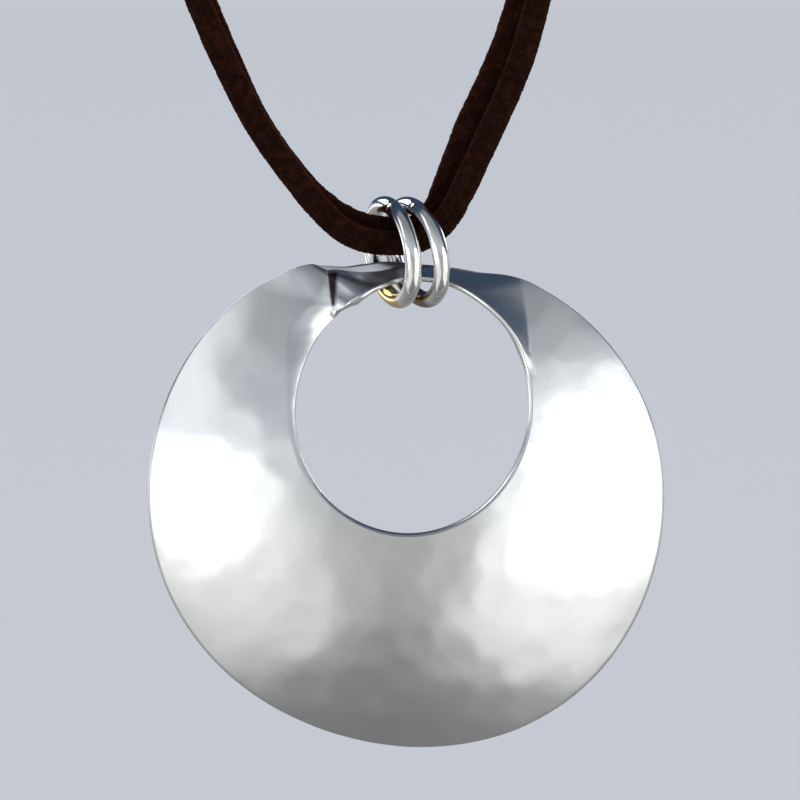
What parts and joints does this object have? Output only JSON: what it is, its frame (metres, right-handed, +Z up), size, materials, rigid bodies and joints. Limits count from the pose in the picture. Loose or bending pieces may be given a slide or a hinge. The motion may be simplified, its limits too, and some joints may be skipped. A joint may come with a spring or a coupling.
{
  "type": "disc pendant",
  "caption": "Hammered, domed silver disc with a large off-centre hole, hung by wire jump rings from doubled suede laces that close at the nape.",
  "frame": {"origin": "underside of the clasp, where it sits on the nape of the neck", "axes": "+Z up as worn, -Y to the front where the disc faces, +X to the right as seen from the front"},
  "size_m": [0.1038, 0.0197, 0.2369],
  "materials": {
    "sheet_silver": "hammered, softly polished",
    "wire_silver": "polished",
    "suede": "matt, short nap",
    "clasp_silver": "polished"
  },
  "bodies": {
    "cord": {"lace_front": "suede", "lace_back": "suede", "clasp": "clasp_silver"},
    "rings": {"ring_left": "wire_silver", "ring_right": "wire_silver"},
    "disc": {"disc": "sheet_silver"}
  },
  "joints": [
    {"name": "rings_swing", "type": "hinge", "parent": "cord", "child": "rings", "pos_m": [0.0084, -0.012, -0.1802], "axis": [1, 0, 0], "range_deg": [-20, 20]},
    {"name": "disc_swing", "type": "hinge", "parent": "rings", "child": "disc", "pos_m": [0.0084, -0.012, -0.1818], "axis": [1, 0, 0], "range_deg": [-10, 10]}
  ]
}
